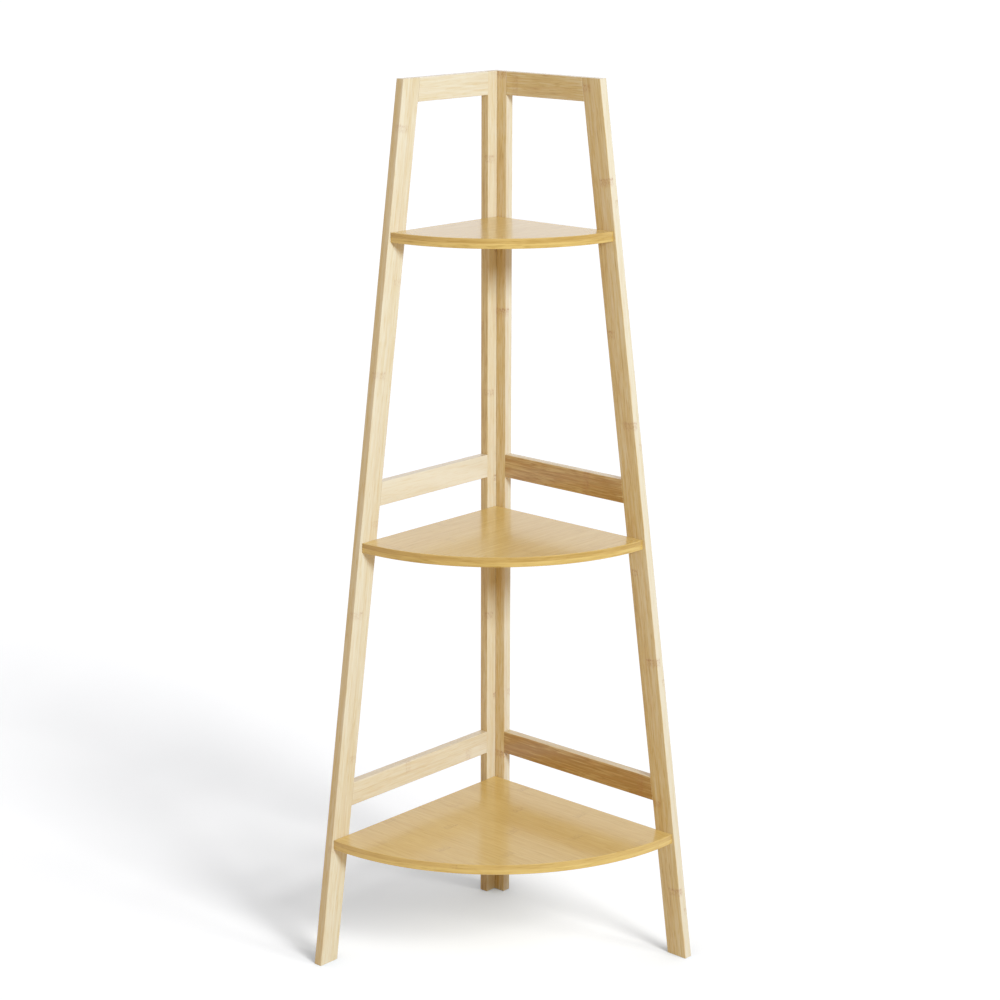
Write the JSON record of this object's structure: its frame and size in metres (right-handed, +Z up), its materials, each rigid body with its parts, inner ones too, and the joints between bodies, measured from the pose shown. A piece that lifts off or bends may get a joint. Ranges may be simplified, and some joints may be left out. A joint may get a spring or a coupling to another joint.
{
  "type": "corner shelf",
  "caption": "Free-standing bamboo corner shelf: two splayed side frames at a right angle carry quarter-round shelves that step in towards the top.",
  "frame": {"origin": "the floor point in the corner of the room, where the floor and both wall planes meet", "axes": "+Z up; the left wall is the plane x = 0 and the left frame runs along -Y; the right wall is the plane y = 0 and the right frame runs along +X"},
  "size_m": [0.34, 0.34, 1.1],
  "materials": {
    "frame_bamboo": "satin lacquer",
    "shelf_bamboo": "satin lacquer",
    "dowel_wood": "bare",
    "screw_steel": "zinc plated"
  },
  "bodies": {
    "root": {"left_rear_post": "frame_bamboo", "left_front_leg": "frame_bamboo", "left_top_rail": "frame_bamboo", "left_middle_rail": "frame_bamboo", "left_lower_rail": "frame_bamboo", "right_rear_post": "frame_bamboo", "right_front_leg": "frame_bamboo", "right_top_rail": "frame_bamboo", "right_middle_rail": "frame_bamboo", "right_lower_rail": "frame_bamboo", "top_shelf": "shelf_bamboo", "middle_shelf": "shelf_bamboo", "bottom_shelf": "shelf_bamboo", "left_top_rail_dowels": "dowel_wood", "left_middle_rail_dowels": "dowel_wood", "left_lower_rail_dowels": "dowel_wood", "right_top_rail_dowels": "dowel_wood", "right_middle_rail_dowels": "dowel_wood", "right_lower_rail_dowels": "dowel_wood", "top_shelf_screws": "screw_steel", "middle_shelf_screws": "screw_steel", "bottom_shelf_screws": "screw_steel", "corner_screws": "screw_steel"}
  },
  "joints": []
}
